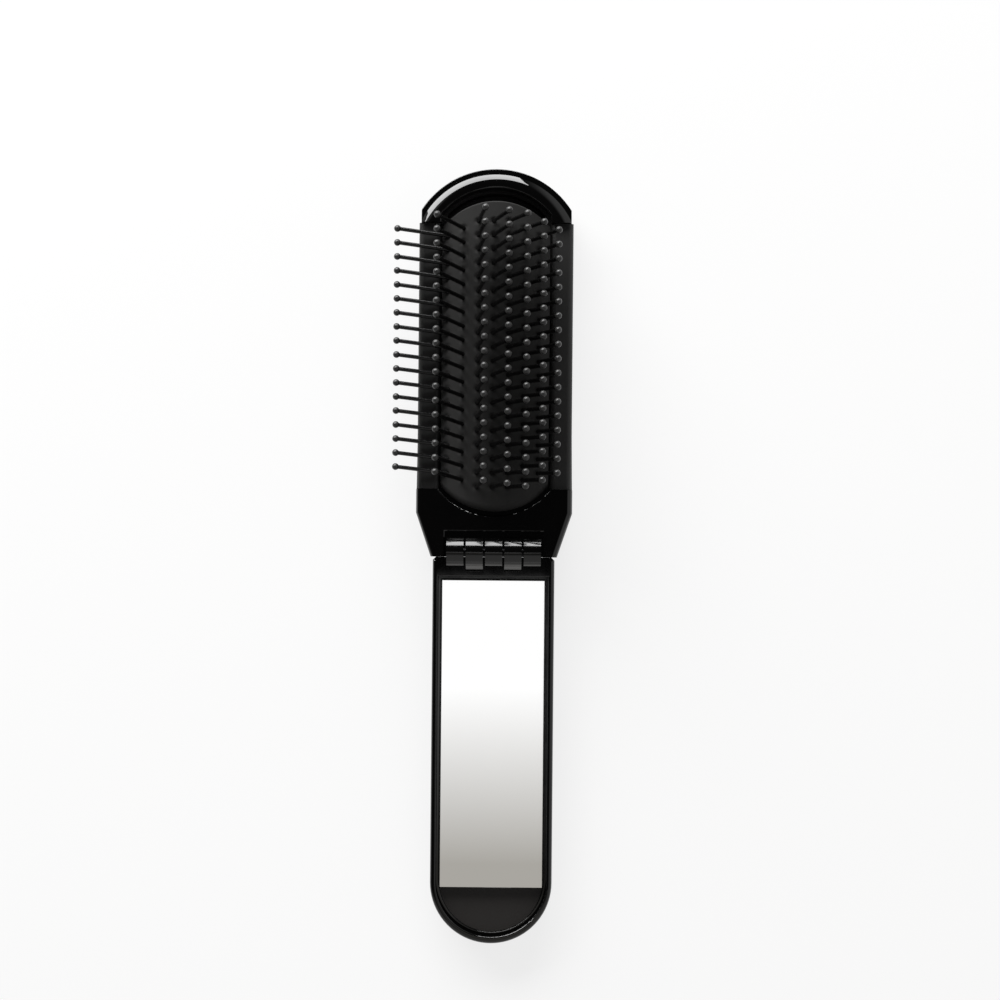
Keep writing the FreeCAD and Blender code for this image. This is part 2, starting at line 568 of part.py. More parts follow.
def hollow_cushion(body, name, half, inset):
    """Take the inside out of the crown, as wide as asked and up to an inset from both ends."""
    section = new_sketch(body, f"{name}_section", "XZ_Plane", minus(f"{CUSHION_END} - {inset}"))
    edge = f"({CUSHION_TOP} - {CROWN_RADIUS} + sqrt(({CROWN_RADIUS} - Brush.cushion_wall) ^ 2 - {half} ^ 2))"
    corners = [
        (minus(half), "Brush.ledge_height"),
        (half, "Brush.ledge_height"),
        (half, edge),
        (minus(half), edge),
    ]
    draw_outline(section, corners, {2: ("0", CAVITY_TOP)})
    length = f"{CUSHION_END} - Brush.cushion_start - 2 * {inset}"
    extrude(body, "Pocket", name, section, length, reversed_way=True)


def is_cushion_end_edge(edge):
    """True for the upper edges of the cushion's bowed ends."""
    box = edge.BoundBox
    crossing = box.XLength > size(CUSHION_HALF)
    return crossing and box.ZMin > size("Brush.ledge_height") + SAME_PLACE


def row_across(number):
    """How far a row lies from the middle of the brush."""
    return f"({number - 1} * Brush.pin_row_spacing - Brush.pin_first_row)"


def pins_in_row(number):
    """As many pins as the cushion has room for at that row."""
    setback = f"({CUSHION_BOW_RADIUS} - sqrt({CUSHION_BOW_RADIUS} ^ 2 - {row_across(number)} ^ 2))"
    room = f"({CUSHION_END} - Brush.cushion_start - 2 * {setback} - 2 * Brush.pin_end_margin)"
    return int(size(f"{room} / Brush.pin_pitch")) + 1


def pin_row_length(count):
    return f"{count - 1} * Brush.pin_pitch"


def pin_row_start(number, count):
    """Where the first pin of a row comes out of the cushion."""
    across = row_across(number)
    height = f"({CUSHION_TOP} - {CROWN_RADIUS} + sqrt({CROWN_RADIUS} ^ 2 - {across} ^ 2))"
    first = f"({CUSHION_MIDDLE} + Brush.pin_field_shift - ({pin_row_length(count)}) / 2)"
    return across, height, first


# Pin rows: turned nylon pins with a ball at the tip and a bead at the root
def build_pin_row(number):
    label = f"pin_row_{number}"
    lean = ROW_LEAN_DEGREES[number - 1]
    tilt = ROW_TILT_DEGREES[number - 1]
    count = pins_in_row(number)
    body = new_body(label)
    profile = new_sketch(body, f"{label}_profile", "XZ_Plane")
    profile.AttachmentOffset.Rotation = FreeCAD.Rotation(FreeCAD.Vector(1, 0, 0), -tilt)
    shaft = "Brush.pin_diameter / 2"
    root = "Brush.pin_root_diameter / 2"
    tip = "Brush.pin_tip_diameter / 2"
    tip_middle = "(Brush.pin_root_depth + Brush.pin_length)"
    root_meets = f"sqrt(({root}) ^ 2 - ({shaft}) ^ 2)"
    tip_meets = f"({tip_middle} - sqrt(({tip}) ^ 2 - ({shaft}) ^ 2))"
    corners = [
        ("0", minus(root)),
        (shaft, root_meets),
        (shaft, tip_meets),
        ("0", f"{tip_middle} + {tip}"),
    ]
    draw_outline(profile, corners, {0: (root, "0"), 2: (tip, tip_middle)})
    turned = body.newObject("PartDesign::Revolution", f"{label}_pin")
    turned.Profile = profile
    turned.ReferenceAxis = (profile, ["V_Axis"])
    turned.Angle = 360
    document.recompute()
    repeat(body, f"{label}_pins", turned, (origin_part(body, "Y_Axis"), [""]), pin_row_length(count), count)
    across, height, first = pin_row_start(number, count)
    body.Placement.Rotation = FreeCAD.Rotation(FreeCAD.Vector(0, 1, 0), lean)
    depth = f"Brush.pin_root_depth * cos({tilt})"
    body.setExpression("Placement.Base.x", f"{across} - {depth} * sin({lean})")
    body.setExpression("Placement.Base.y", f"{first} - Brush.pin_root_depth * sin({tilt})")
    body.setExpression("Placement.Base.z", f"{height} - {depth} * cos({lean})")
    return body


# Hinge pin: a plain steel rod through the five knuckles
def build_hinge_pin():
    body = new_body("hinge_pin")
    section = new_sketch(body, "hinge_pin_section", "YZ_Plane")
    draw_circle(section, ("0", HINGE_HEIGHT), "Brush.hinge_pin_diameter")
    extrude(body, "Pad", "hinge_pin_rod", section, BARREL_LENGTH, both_ways=True)
    dress(body, "Chamfer", "hinge_pin_ends", "Size", "Brush.hinge_pin_chamfer",
          lambda edge: edge.BoundBox.XLength < SAME_PLACE)
    return body


def draw_tray_shape(sketch, half, start):
    """A plan of the tray's kind: straight sides, and a round end about the tray's own centre."""
    centre = minus(TRAY_CENTRE)
    corners = [
        (half, minus(start)),
        (minus(half), minus(start)),
        (minus(half), centre),
        (half, centre),
    ]
    draw_outline(sketch, corners, {2: ("0", minus(f"{TRAY_CENTRE} + {half}"))})


# Handle tray: a shallow lid with a ledge inside its rim and two knuckles
def build_handle_tray():
    body = new_body("handle_tray")
    plan = new_sketch(body, "handle_plan", "XY_Plane")
    cut_half = f"({HANDLE_HALF} - Brush.handle_corner_cut)"
    cut_start = minus("Brush.handle_start + Brush.handle_corner_cut")
    start = minus("Brush.handle_start")
    corners = [
        (cut_half, start),
        (minus(cut_half), start),
        (minus(HANDLE_HALF), cut_start),
        (minus(HANDLE_HALF), minus(HANDLE_CENTRE)),
        (HANDLE_HALF, minus(HANDLE_CENTRE)),
        (HANDLE_HALF, cut_start),
    ]
    draw_outline(plan, corners, {3: ("0", minus("Brush.handle_reach"))})
    extrude(body, "Pad", "handle_block", plan, "Brush.handle_height")
    dress(body, "Fillet", "handle_back_edges", "Radius", "Brush.handle_back_round",
          lambda edge: at_height(edge, "0") and not on_butt_face(edge, start))
    dress(body, "Fillet", "handle_front_edges", "Radius", "Brush.handle_front_round",
          lambda edge: at_height(edge, "Brush.handle_height") and not on_butt_face(edge, start))

    step = new_sketch(body, "step_plan", "XY_Plane", "Brush.handle_height")
    draw_tray_shape(step, STEP_HALF, STEP_START)
    extrude(body, "Pocket", "rim_step", step, f"Brush.handle_height - {MIRROR_BACK}")
    tray = new_sketch(body, "tray_plan", "XY_Plane", "Brush.handle_height")
    draw_tray_shape(tray, TRAY_HALF, "Brush.tray_start")
    extrude(body, "Pocket", "tray", tray, "Brush.handle_height - Brush.tray_floor")
    dress(body, "Fillet", "rim_edges", "Radius", "Brush.rim_edge_round",
          lambda edge: is_rim_edge(edge, "Brush.handle_height"))
    dress(body, "Fillet", "step_edges", "Radius", "Brush.step_edge_round",
          lambda edge: is_rim_edge(edge, MIRROR_BACK) and is_tray_edge(edge))

    knuckle = new_sketch(body, "handle_knuckle_side", "YZ_Plane", minus(KNUCKLE_STEP))
    root = "(Brush.handle_height - Brush.neck_root)"
    meets = f"({HINGE_HEIGHT} - sqrt(({BARREL_RADIUS}) ^ 2 - Brush.handle_start ^ 2))"
    corners = [
        (minus("Brush.neck_reach"), root),
        (start, root),
        (start, meets),
        (minus(BARREL_RADIUS), HINGE_HEIGHT),
        (minus("Brush.neck_reach"), "Brush.handle_height + Brush.neck_foot"),
    ]
    draw_outline(knuckle, corners, {2: (BARREL_RADIUS, HINGE_HEIGHT)})
    first = extrude(body, "Pad", "handle_knuckle", knuckle, "Brush.knuckle_length", both_ways=True)
    along_hinge = (origin_part(body, "X_Axis"), [""])
    repeat(body, "handle_knuckles", first, along_hinge, f"2 * {KNUCKLE_STEP}", HANDLE_KNUCKLES)
    cut_hinge_bore(body, "handle_bore", "Brush.hinge_running_clearance")
    return body


def is_rim_edge(edge, height):
    """True for the inner edges of the rim at a height."""
    widest = max(edge.BoundBox.XMax, -edge.BoundBox.XMin)
    inside = widest < size(STEP_HALF) + SAME_PLACE
    inside = inside and edge.BoundBox.YMax < -size(STEP_START) + SAME_PLACE
    return inside and at_height(edge, height)


def is_tray_edge(edge):
    """True for an edge round the tray itself, inside the ledge."""
    box = edge.BoundBox
    widest = max(box.XMax, -box.XMin)
    inside = widest < size(TRAY_HALF) + SAME_PLACE
    return inside and box.YMax < -size("Brush.tray_start") + SAME_PLACE


# What lies in the tray: a matt panel, two adhesive strips and the mirror
def build_tray_liner():
    body = new_body("tray_liner")
    plan = new_sketch(body, "liner_plan", "XY_Plane", "Brush.tray_floor")
    draw_tray_shape(plan, LINER_HALF, "(Brush.tray_start + Brush.liner_clearance)")
    extrude(body, "Pad", "liner_panel", plan, "Brush.liner_thickness")
    return body


def build_mirror_tape(label, start):
    """One strip, measured from the hinge."""
    body = new_body(label)
    plan = new_sketch(body, f"{label}_plan", "XY_Plane", LINER_TOP)
    half = "Brush.tape_width / 2"
    near = minus(start)
    far = minus(f"{start} + Brush.tape_length")
    draw_box(plan, (minus(half), far), (half, near))
    extrude(body, "Pad", f"{label}_strip", plan, "Brush.tape_thickness")
    return body


def build_mirror():
    body = new_body("mirror_plate")
    plan = new_sketch(body, "mirror_plan", "XY_Plane", MIRROR_BACK)
    near = minus("Brush.mirror_start")
    far = minus(MIRROR_END)
    draw_box(plan, (minus(MIRROR_HALF), far), (MIRROR_HALF, near))
    extrude(body, "Pad", "mirror_sheet", plan, "Brush.mirror_thickness")
    front = f"{MIRROR_BACK} + Brush.mirror_thickness"
    dress(body, "Chamfer", "mirror_edges", "Size", "Brush.mirror_bevel",
          lambda edge: at_height(edge, front))
    return body


subparts = [
    build_head_shell(),
    build_side_rail("side_rail_right", turned=False),
    build_side_rail("side_rail_left", turned=True),
    build_cushion(),
    build_hinge_pin(),
    build_handle_tray(),
    build_tray_liner(),
    build_mirror_tape("mirror_tape_upper", "(Brush.mirror_start + Brush.tape_inset)"),
    build_mirror_tape("mirror_tape_lower", f"({MIRROR_END} - Brush.tape_inset - Brush.tape_length)"),
    build_mirror(),
]
for number in range(1, PIN_ROWS + 1):
    subparts.append(build_pin_row(number))
document.recompute()

for item in document.Objects:
    if "Invalid" in item.State or "Error" in item.State:
        raise RuntimeError(f"{item.Label} failed: {item.State}")
for subpart in subparts:
    if subpart.Shape.isNull() or not subpart.Shape.isValid():
        raise RuntimeError(f"{subpart.Label} has no valid shape")

os.makedirs("parts", exist_ok=True)
for subpart in subparts:
    subpart.Shape.exportStep(f"parts/{subpart.Label}.step")
    box = subpart.Shape.BoundBox
    print(subpart.Label, len(subpart.Shape.Solids), "solids", round(subpart.Shape.Volume, 2), "mm3",
          [round(edge, 2) for edge in (box.XMin, box.YMin, box.ZMin, box.XMax, box.YMax, box.ZMax)])
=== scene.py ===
import math

import bmesh
import bpy
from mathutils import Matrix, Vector


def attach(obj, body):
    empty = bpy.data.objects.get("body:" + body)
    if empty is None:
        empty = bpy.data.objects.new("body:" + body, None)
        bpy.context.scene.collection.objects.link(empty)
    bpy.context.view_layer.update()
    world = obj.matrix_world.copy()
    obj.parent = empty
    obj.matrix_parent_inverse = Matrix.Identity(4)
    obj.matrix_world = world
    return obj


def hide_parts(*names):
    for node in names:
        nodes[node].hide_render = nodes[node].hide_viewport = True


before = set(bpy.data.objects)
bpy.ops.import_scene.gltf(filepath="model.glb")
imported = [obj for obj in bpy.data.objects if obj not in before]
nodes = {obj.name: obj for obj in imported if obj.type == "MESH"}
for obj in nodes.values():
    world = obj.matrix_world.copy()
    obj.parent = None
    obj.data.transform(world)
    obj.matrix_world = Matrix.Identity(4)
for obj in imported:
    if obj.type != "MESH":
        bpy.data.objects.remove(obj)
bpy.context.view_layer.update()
scene = bpy.context.scene
scene.view_settings.view_transform = "Standard"

MM = 0.001

# Camera: straight down on the open brush, turned a little about its line of sight
CAMERA_AIM = (1.45 * MM, 12.8 * MM)
CAMERA_HEIGHT = 506.5 * MM
CAMERA_TURN = 0.009
CAMERA_LENS = 72

# Cushion: its ledge, crown and bowed ends, and how finely its surface is divided
LEDGE_HEIGHT = 6.5 * MM
CUSHION_HALF = 13.4 * MM
CUSHION_SIDE_TOP = 9.0 * MM
CUSHION_CROWN = 4.0 * MM
CUSHION_START = 9.9 * MM
CUSHION_END = 86.6 * MM
CUSHION_END_BOW = 6.0 * MM
CUSHION_LOWER_ROUND = 1.7 * MM
CUSHION_UPPER_ROUND = 0.25 * MM
CUSHION_LIFT = 0.02 * MM
CUSHION_COLUMNS = 64
CUSHION_ROWS = 240
CUSHION_END_CROWDING = 0.7

# Pins: how many in each row, how each row leans across the brush, and where they leave the cushion
PINS_PER_ROW = (18, 19, 20, 20, 20, 19, 18)
ROW_LEAN_DEGREES = (-78.0, -29.0, 8.0, 17.0, 20.0, 21.0, 20.0)
PIN_PITCH = 3.46 * MM
PIN_FIRST_ROW = 12.0 * MM
PIN_ROW_SPACING = 3.8 * MM
PIN_FIELD_MIDDLE = 48.9 * MM
DIMPLE_RADIUS = 1.15 * MM
DIMPLE_DEPTH = 0.5 * MM

# Ball tips: where they start along a pin, from the cushion, which also bounds their painted highlight, and
# how much duller they are
PIN_TIP_START = 11.9 * MM
PIN_TIP_END = 12.5 * MM
PIN_TIP_SOFTENING = 0.12

# Mouldings: duller on the hinge barrel, which stands above the rest, and inside the head's well
BARREL_FOOT = 10.9 * MM
BARREL_TOP = 11.6 * MM
BARREL_DULLING = 0.09
WELL_TOP = 10.7 * MM
WELL_FOOT = 10.3 * MM
WELL_FLOOR = 1.0 * MM
WELL_UNDERSIDE = 0.5 * MM
WELL_CENTRE_ALONG = 72.85 * MM
WELL_EDGE = 17.6 * MM
WELL_INSIDE = 17.3 * MM
WELL_DULLING = 0.4

# Floor: a pale sheet just under the brush
FLOOR_HALF = 6.0
FLOOR_DROP = 0.05 * MM
FLOOR_TONE = (0.9, 0.9, 0.9)
FLOOR_GLOW_TONE = (1.0, 1.0, 1.0)
FLOOR_GLOW_SHARE = 0.78

# Room, by the parts of a direction: across to the right, and along to the tip of the head
ROOM_TONE = (0.02, 0.02, 0.02)
RIGHT_WALL_TONE = (0.55, 0.55, 0.55)
RIGHT_WALL_ACROSS = (0.25, 0.6)
HANDLE_WALL_TONE = (0.5, 0.495, 0.485)
HANDLE_WALL_ALONG = (-0.24, -0.55)
CORNER_WALL_TONE = (0.45, 0.45, 0.45)
CORNER_WALL_ACROSS = (-0.25, -0.45)
CORNER_WALL_ALONG = (0.25, 0.5)

# Lit panel over the handle, which the mirror shows
PANEL_DIM_TONE = (0.41, 0.395, 0.365)
PANEL_BRIGHT_TONE = (1.04, 1.04, 1.04)
PANEL_FADE_ALONG = (-0.179, -0.094)
PANEL_NEAR_EDGE = (-0.0383, -0.0397)
PANEL_FAR_EDGE = (-0.27, -0.23)
PANEL_LEFT_OF_MIDDLE = 0.005
PANEL_SIDE_EDGE = (0.0282, 0.0277)

# Window: a soft lamp beyond the head, aimed at the head's foot
WINDOW_PLACE = (-0.327, 1.07, 0.4)
WINDOW_AIM = (0.0, 0.02, 0.0)
WINDOW_SIZE = (1.46, 0.8)
WINDOW_POWER = 38.0


# Camera and pieces
def place_camera():
    data = bpy.data.cameras.new("top_camera")
    data.lens = CAMERA_LENS
    data.dof.use_dof = False
    camera = bpy.data.objects.new("top_camera", data)
    camera.location = (*CAMERA_AIM, CAMERA_HEIGHT)
    camera.rotation_euler = (0, 0, CAMERA_TURN)
    scene.collection.objects.link(camera)
    scene.camera = camera


def make_piece(name, shape, material):
    """An object at the origin from a finished bmesh."""
    mesh = bpy.data.meshes.new(name)
    shape.to_mesh(mesh)
    shape.free()
    for face in mesh.polygons:
        face.use_smooth = True
    mesh.materials.append(material)
    piece = bpy.data.objects.new(name, mesh)
    scene.collection.objects.link(piece)
    return piece


# Node helpers
def add_node(tree, kind, **settings):
    node = tree.nodes.new(kind)
    for name, value in settings.items():
        setattr(node, name, value)
    return node


def set_inputs(node, **values):
    """Plain values for the named inputs; underscores stand for spaces."""
    for name, value in values.items():
        node.inputs[name.replace("_", " ")].default_value = value
    return node


def spread(tree, value, low, high):
    """A value between 0 and 1 brought to another range."""
    node = add_node(tree, "ShaderNodeMapRange")
    set_inputs(node, To_Min=low, To_Max=high)
    tree.links.new(value, node.inputs["Value"])
    return node.outputs["Result"]


def ramp_between(tree, value, start, end, shape="SMOOTHSTEP"):
    """From 0 to 1 as a value goes from start to end."""
    node = add_node(tree, "ShaderNodeMapRange", interpolation_type=shape)
    set_inputs(node, From_Min=start, From_Max=end)
    tree.links.new(value, node.inputs["Value"])
    return node.outputs["Result"]


def combine(tree, operation, first, second=0.0):
    """The result of a math operation; each value is a float or a socket."""
    node = add_node(tree, "ShaderNodeMath", operation=operation)
    for socket, value in zip(node.inputs, (first, second)):
        if isinstance(value, float):
            socket.default_value = value
        else:
            tree.links.new(value, socket)
    return node.outputs["Value"]


def blend_colours(tree, share, low, high):
    """A colour between two others; each is a colour or the result of another blend."""
    node = add_node(tree, "ShaderNodeMix", data_type="RGBA")
    for name, colour in (("A", low), ("B", high)):
        if isinstance(colour, tuple):
            node.inputs[name].default_value = (*colour, 1.0)
        else:
            tree.links.new(colour, node.inputs[name])
    tree.links.new(share, node.inputs["Factor"])
    return node.outputs["Result"]


def new_group(name, inputs, outputs):
    """An empty shader group with float inputs and outputs."""
    group = bpy.data.node_groups.new(name, "ShaderNodeTree")
    for label, value in inputs:
        socket = group.interface.new_socket(label, in_out="INPUT", socket_type="NodeSocketFloat")
        socket.default_value = value
    for label in outputs:
        group.interface.new_socket(label, in_out="OUTPUT", socket_type="NodeSocketFloat")
    start = add_node(group, "NodeGroupInput")
    finish = add_node(group, "NodeGroupOutput")
    return group, start.outputs, finish.inputs


# Surface effects that several finishes share
def make_grain_group():
    """Fine moulded grain with a broader unevenness under it."""
    group, given, result = new_group(
        "moulded_grain", [("Scale", 2000.0), ("Broad Scale", 60.0)], ["Grain", "Broad"])
    place = add_node(group, "ShaderNodeTexCoord").outputs["Object"]
    fine = add_node(group, "ShaderNodeTexNoise")
    set_inputs(fine, Detail=3.0, Roughness=0.6)
    broad = add_node(group, "ShaderNodeTexNoise")
    set_inputs(broad, Detail=2.0, Roughness=0.5)
    for texture, scale, label in ((fine, "Scale", "Grain"), (broad, "Broad Scale", "Broad")):
        group.links.new(place, texture.inputs["Vector"])
        group.links.new(given[scale], texture.inputs["Scale"])
        group.links.new(texture.outputs["Fac"], result[label])
    return group


def make_handling_group():
    """Faint smears and hairline scratches of a polished surface that has been handled."""
    group, given, result = new_group(
        "handling_marks", [("Smear Scale", 45.0), ("Scratch Scale", 260.0)], ["Smear", "Scratch"])
    place = add_node(group, "ShaderNodeTexCoord").outputs["Object"]
    smear = add_node(group, "ShaderNodeTexNoise")
    set_inputs(smear, Detail=4.0, Roughness=0.65, Distortion=1.2)
    group.links.new(place, smear.inputs["Vector"])
    group.links.new(given["Smear Scale"], smear.inputs["Scale"])
    group.links.new(smear.outputs["Fac"], result["Smear"])
    stretch = add_node(group, "ShaderNodeMapping")
    set_inputs(stretch, Rotation=(0.0, 0.0, 0.5), Scale=(9.0, 0.35, 1.0))
    group.links.new(place, stretch.inputs["Vector"])
    scratch = add_node(group, "ShaderNodeTexNoise")
    set_inputs(scratch, Detail=2.0, Roughness=0.5)
    group.links.new(stretch.outputs["Vector"], scratch.inputs["Vector"])
    group.links.new(given["Scratch Scale"], scratch.inputs["Scale"])
    lines = ramp_between(group, scratch.outputs["Fac"], start=0.62, end=0.72, shape="LINEAR")
    group.links.new(lines, result["Scratch"])
    return group


GRAIN = make_grain_group()
HANDLING = make_handling_group()


# Parts of a finish
def new_finish(name):
    """A material with its Principled shader."""
    material = bpy.data.materials.new(name)
    material.use_nodes = True
    tree = material.node_tree
    return material, tree, tree.nodes["Principled BSDF"]


def place_group(tree, group, **values):
    """A shared effect in a finish, with the finish's own values."""
    node = add_node(tree, "ShaderNodeGroup", node_tree=group)
    return set_inputs(node, **values)


def tint(tree, shader, mask, dark, light):
    """Base colour between two tones, by a mask."""
    tree.links.new(blend_colours(tree, mask, dark, light), shader.inputs["Base Color"])


def roughen(tree, shader, value):
    tree.links.new(value, shader.inputs["Roughness"])


def emboss(tree, shader, height, strength, depth):
    """Bump from a height."""
    bump = add_node(tree, "ShaderNodeBump")
    set_inputs(bump, Strength=strength, Distance=depth)
    tree.links.new(height, bump.inputs["Height"])
    tree.links.new(bump.outputs["Normal"], shader.inputs["Normal"])


def height_mask(tree, place, low, high):
    """From 0 to 1 between two heights of a place."""
    axes = add_node(tree, "ShaderNodeSeparateXYZ")
    tree.links.new(place, axes.inputs["Vector"])
    return ramp_between(tree, axes.outputs["Z"], low, high)


def well_mask(tree, place):
    """1 inside the well of the head, under the cap's arch, and 0 elsewhere."""
    under_front = height_mask(tree, place, WELL_TOP, WELL_FOOT)
    over_back = height_mask(tree, place, WELL_UNDERSIDE, WELL_FLOOR)
    flat = add_node(tree, "ShaderNodeVectorMath", operation="MULTIPLY")
    flat.inputs[1].default_value = (1.0, 1.0, 0.0)
    tree.links.new(place, flat.inputs[0])
    away = add_node(tree, "ShaderNodeVectorMath", operation="DISTANCE")
    away.inputs[1].default_value = (0.0, WELL_CENTRE_ALONG, 0.0)
    tree.links.new(flat.outputs["Vector"], away.inputs[0])
    inside = ramp_between(tree, away.outputs["Value"], WELL_EDGE, WELL_INSIDE)
    return combine(tree, "MULTIPLY", combine(tree, "MULTIPLY", under_front, over_back), inside)


# Form of the cushion: a crown across it, bowed ends and a dimple round every pin
def crown_height(across):
    """Height of the crown at a distance from the middle."""
    radius = (CUSHION_HALF ** 2 + CUSHION_CROWN ** 2) / (2 * CUSHION_CROWN)
    return CUSHION_SIDE_TOP + CUSHION_CROWN - radius + math.sqrt(radius ** 2 - across ** 2)


def end_setback(across):
    """How far the bowed end lies behind its middle."""
    radius = (CUSHION_HALF ** 2 + CUSHION_END_BOW ** 2) / (2 * CUSHION_END_BOW)
    return radius - math.sqrt(radius ** 2 - across ** 2)


def end_drop(inward, radius):
    """How far a rounded end lies below the crown, at a distance from the end."""
    short_of_crown = radius - min(max(inward, 0.0), radius)
    return radius - math.sqrt(radius ** 2 - short_of_crown ** 2)


def crowd_to_ends(share):
    """A share of the length, moved so that rows lie closer together near both ends."""
    return share - CUSHION_END_CROWDING * math.sin(2 * math.pi * share) / (2 * math.pi)


def row_across(number):
    """How far a row of pins lies from the middle of the brush."""
    return (number - 1) * PIN_ROW_SPACING - PIN_FIRST_ROW


def pin_exits():
    """Where each pin of each row comes out of the crown."""
    for number, count in enumerate(PINS_PER_ROW, start=1):
        for place in range(count):
            yield row_across(number), PIN_FIELD_MIDDLE + (place - (count - 1) / 2) * PIN_PITCH


def dimple(across, along, exits):
    """Depth of the surface below the crown at a place, from the nearest pin."""
    depth = 0.0
    for pin_across, pin_along in exits:
        distance = math.hypot(across - pin_across, along - pin_along)
        if distance < DIMPLE_RADIUS:
            depth = max(depth, DIMPLE_DEPTH * (0.5 + 0.5 * math.cos(math.pi * distance / DIMPLE_RADIUS)))
    return depth


# Finishes
def polished_black():
    """Polished mouldings; their hinge barrel and the inside of the head's well are duller."""
    material, tree, shader = new_finish("polished_black_plastic")
    set_inputs(shader, IOR=1.56)
    marks = place_group(tree, HANDLING, Smear_Scale=70.0, Scratch_Scale=220.0)
    grain = place_group(tree, GRAIN, Scale=900.0, Broad_Scale=140.0)
    smear = marks.outputs["Smear"]
    tint(tree, shader, smear, dark=(0.0008, 0.0008, 0.0008), light=(0.0016, 0.0015, 0.0015))
    place = add_node(tree, "ShaderNodeTexCoord").outputs["Object"]
    barrel = height_mask(tree, place, BARREL_FOOT, BARREL_TOP)
    barrel_dulling = spread(tree, barrel, low=0.0, high=BARREL_DULLING)
    well_dulling = spread(tree, well_mask(tree, place), low=0.0, high=WELL_DULLING)
    polish = spread(tree, smear, low=0.02, high=0.045)
    dulling = combine(tree, "ADD", barrel_dulling, well_dulling)
    roughen(tree, shader, combine(tree, "ADD", polish, dulling))
    emboss(tree, shader, grain.outputs["Broad"], strength=0.03, depth=0.1 * MM)
    return material


def matt_black():
    """Side rails: fine matt grain."""
    material, tree, shader = new_finish("matt_black_plastic")
    grain = place_group(tree, GRAIN, Scale=3200.0, Broad_Scale=90.0)
    tint(tree, shader, grain.outputs["Broad"], dark=(0.0054, 0.0053, 0.0052), light=(0.009, 0.0088, 0.0084))
    roughen(tree, shader, spread(tree, grain.outputs["Grain"], low=0.4, high=0.56))
    emboss(tree, shader, grain.outputs["Grain"], strength=0.22, depth=0.06 * MM)
    return material


def soft_rubber():
    """Cushion: dull rubber with little gloss."""
    material, tree, shader = new_finish("matt_cushion_rubber")
    set_inputs(shader, Specular_IOR_Level=0.22)
    grain = place_group(tree, GRAIN, Scale=2400.0, Broad_Scale=80.0)
    tint(tree, shader, grain.outputs["Broad"], dark=(0.015, 0.0147, 0.0144), light=(0.0215, 0.021, 0.0204))
    roughen(tree, shader, spread(tree, grain.outputs["Grain"], low=0.6, high=0.78))
    emboss(tree, shader, grain.outputs["Grain"], strength=0.25, depth=0.05 * MM)
    return material


def black_nylon(number, lean):
    """Pins of one row: satin black shafts and duller ball tips, told apart along the row's lean; the tips'
    paler colour is a painted highlight for the soft glow on the balls.
    """
    material, tree, shader = new_finish(f"black_nylon_{number}")
    grain = place_group(tree, GRAIN, Scale=1600.0, Broad_Scale=300.0)
    angle = math.radians(lean)
    across = row_across(number)
    exit_height = across * math.sin(angle) + crown_height(across) * math.cos(angle)
    upright = add_node(tree, "ShaderNodeMapping")
    set_inputs(upright, Location=(0.0, 0.0, -exit_height), Rotation=(0.0, -angle, 0.0))
    place = add_node(tree, "ShaderNodeTexCoord").outputs["Object"]
    tree.links.new(place, upright.inputs["Vector"])
    tip = height_mask(tree, upright.outputs["Vector"], PIN_TIP_START, PIN_TIP_END)
    # Paler colour on the ball tips: a painted highlight, the balls themselves being black
    tint(tree, shader, tip, dark=(0.0028, 0.0027, 0.0027), light=(0.02, 0.0198, 0.0195))
    polish = spread(tree, grain.outputs["Broad"], low=0.16, high=0.24)
    softening = spread(tree, tip, low=0.0, high=PIN_TIP_SOFTENING)
    roughen(tree, shader, combine(tree, "ADD", polish, softening))
    emboss(tree, shader, grain.outputs["Grain"], strength=0.05, depth=0.05 * MM)
    return material


def steel_darkened_as_shade():
    """Hinge pin: drawn wire coloured near black, painted shade that keeps the gaps between the knuckles
    dark.
    """
    material, tree, shader = new_finish("steel_wire_painted_shade")
    set_inputs(shader, Metallic=1.0)
    marks = place_group(tree, HANDLING, Smear_Scale=220.0, Scratch_Scale=900.0)
    # Near-black colour: painted shade for the gaps between the knuckles; the smears vary it a little
    tint(tree, shader, marks.outputs["Smear"], dark=(0.013, 0.013, 0.0135), light=(0.02, 0.02, 0.021))
    roughen(tree, shader, spread(tree, marks.outputs["Scratch"], low=0.42, high=0.55))
    emboss(tree, shader, marks.outputs["Scratch"], strength=0.15, depth=0.02 * MM)
    return material


def tray_panel():
    """Panel under the mirror: dark satin plastic."""
    material, tree, shader = new_finish("dark_tray_panel")
    grain = place_group(tree, GRAIN, Scale=2600.0, Broad_Scale=50.0)
    broad = grain.outputs["Broad"]
    tint(tree, shader, broad, dark=(0.0213, 0.0196, 0.0187), light=(0.0271, 0.0249, 0.0237))
    roughen(tree, shader, spread(tree, grain.outputs["Grain"], low=0.24, high=0.36))
    emboss(tree, shader, grain.outputs["Grain"], strength=0.08, depth=0.04 * MM)
    return material


def white_foam():
    """Strips that hold the mirror."""
    material, tree, shader = new_finish("white_adhesive_foam")
    grain = place_group(tree, GRAIN, Scale=2200.0, Broad_Scale=300.0)
    tint(tree, shader, grain.outputs["Grain"], dark=(0.62, 0.62, 0.59), light=(0.8, 0.8, 0.77))
    roughen(tree, shader, spread(tree, grain.outputs["Grain"], low=0.75, high=0.95))
    emboss(tree, shader, grain.outputs["Grain"], strength=0.5, depth=0.1 * MM)
    return material


def silvered_glass():
    """Mirror with faint smears."""
    material, tree, shader = new_finish("silvered_mirror")
    set_inputs(shader, Metallic=1.0)
    marks = place_group(tree, HANDLING, Smear_Scale=35.0, Scratch_Scale=150.0)
    tint(tree, shader, marks.outputs["Smear"], dark=(0.955, 0.955, 0.955), light=(0.975, 0.975, 0.97))
    roughen(tree, shader, spread(tree, marks.outputs["Smear"], low=0.005, high=0.02))
    return material


